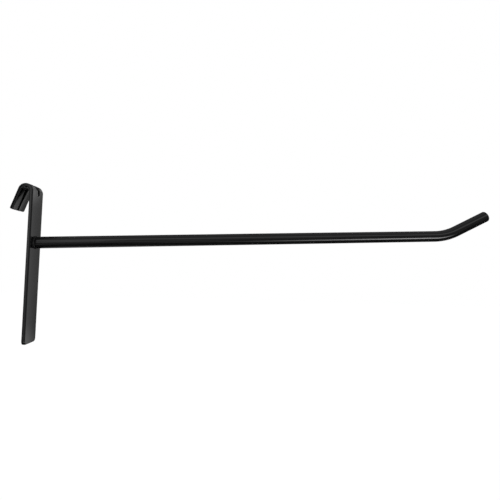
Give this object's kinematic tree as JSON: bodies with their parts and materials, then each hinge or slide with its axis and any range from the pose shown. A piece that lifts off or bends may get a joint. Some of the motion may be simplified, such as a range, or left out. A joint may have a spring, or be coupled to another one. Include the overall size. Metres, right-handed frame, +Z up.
{
  "type": "gridwall hook",
  "caption": "Straight display hook for a wire grid panel: flat strip with a ribbed, bent-over top that hangs on a grid wire, and a welded round wire arm with an upturned tip.",
  "frame": {"origin": "centre of the strip's bend, the axis about which it wraps the grid wire, on the middle of the strip's width", "axes": "+X out from the strip towards the arm's tip, +Y across the strip along the grid wire, +Z up"},
  "size_m": [0.2668, 0.0126, 0.085],
  "materials": {
    "black_enamel_strip": "semi-gloss black enamel on flat steel strip",
    "black_enamel_wire": "semi-gloss black enamel on drawn steel wire",
    "black_enamel_weld": "semi-gloss black enamel over a small weld bead"
  },
  "bodies": {
    "root": {"back_strip": "black_enamel_strip", "hook_arm": "black_enamel_wire", "weld_bead": "black_enamel_weld"}
  },
  "joints": []
}
